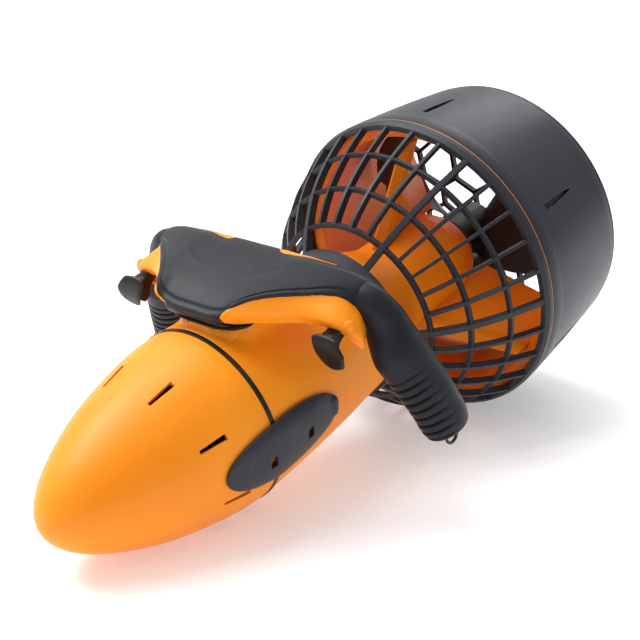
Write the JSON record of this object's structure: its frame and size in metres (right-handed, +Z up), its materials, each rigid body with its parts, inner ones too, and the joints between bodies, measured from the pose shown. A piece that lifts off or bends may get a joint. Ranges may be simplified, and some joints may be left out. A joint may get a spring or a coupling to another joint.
{
  "type": "underwater scooter",
  "caption": "Hand-held underwater scooter: nose-and-battery hull, two-grip handle with trigger levers, and a ducted propeller behind a domed guard.",
  "frame": {"origin": "middle of the footprint, on the surface it lies on: it rests on nose and duct, nose down by 12 degrees", "axes": "+X forwards, towards the nose; +Y to the rider's left; +Z up. The thrust axis lies in the XZ plane, 12 degrees below +X."},
  "size_m": [0.5854, 0.3314, 0.2847],
  "materials": {
    "orange_shell": "satin moulded plastic",
    "stator_orange": "satin moulded plastic",
    "black_plastic": "fine-grained black plastic",
    "soft_black": "soft-touch overmould",
    "seal_rubber": "smooth seal rubber",
    "propeller_black": "semi-matt black plastic",
    "trigger_black": "semi-gloss black plastic",
    "steel": "stainless",
    "motor_steel": "zinc-plated can",
    "inner_plastic": "plain moulded plastic",
    "brass": "plain"
  },
  "bodies": {
    "hull": {"nose_cone": "orange_shell", "body_shell": "orange_shell", "handle_frame": "orange_shell", "stator": "stator_orange", "duct_liner": "stator_orange", "front_grille": "black_plastic", "duct": "black_plastic", "rear_grille": "black_plastic", "handle_base": "black_plastic", "handle_cover": "soft_black", "grip_left": "soft_black", "grip_right": "soft_black", "nose_gasket": "seal_rubber", "battery_lid_seal": "seal_rubber", "hull_seal": "seal_rubber", "shaft_seal": "seal_rubber", "shaft_bearing": "steel", "handle_screws": "steel", "rear_grille_screws": "steel", "latch_pin_left": "steel", "latch_pin_right": "steel", "trigger_pin_left": "steel", "trigger_pin_right": "steel", "trigger_spring_left": "steel", "trigger_spring_right": "steel", "lanyard_loop_left": "steel", "lanyard_loop_right": "steel", "motor": "motor_steel", "battery_lid": "inner_plastic", "battery_pack": "inner_plastic", "controller": "inner_plastic", "motor_plate": "inner_plastic", "trigger_switch_left": "inner_plastic", "trigger_switch_right": "inner_plastic", "battery_terminals": "brass"},
    "propeller": {"propeller": "propeller_black", "propeller_shaft": "steel", "shear_pin": "steel", "propeller_nut": "steel"},
    "trigger_left": {"trigger_left": "trigger_black"},
    "trigger_right": {"trigger_right": "trigger_black"},
    "latch_left": {"side_latch_left": "black_plastic"},
    "latch_right": {"side_latch_right": "black_plastic"}
  },
  "joints": [
    {"name": "propeller_spin", "type": "hinge", "parent": "hull", "child": "propeller", "pos_m": [-0.21046, 0, 0.15104], "axis": [0.9781, 0, -0.2079], "continuous": true},
    {"name": "trigger_left_pull", "type": "hinge", "parent": "hull", "child": "trigger_left", "pos_m": [0.0885, 0.104, 0.17234], "axis": [0, 1, 0], "range_deg": [0, 14], "stiffness_Nm_per_rad": 0.3, "springref_deg": -20.05},
    {"name": "trigger_right_pull", "type": "hinge", "parent": "hull", "child": "trigger_right", "pos_m": [0.0885, -0.104, 0.17234], "axis": [0, 1, 0], "range_deg": [0, 14], "stiffness_Nm_per_rad": 0.3, "springref_deg": -20.05},
    {"name": "latch_left_open", "type": "hinge", "parent": "hull", "child": "latch_left", "pos_m": [0.0614, 0.0757, 0.08814], "axis": [0.2079, 0, 0.9781], "range_deg": [0, 70]},
    {"name": "latch_right_open", "type": "hinge", "parent": "hull", "child": "latch_right", "pos_m": [0.0614, -0.0757, 0.08814], "axis": [-0.2079, 0, -0.9781], "range_deg": [0, 70]}
  ]
}
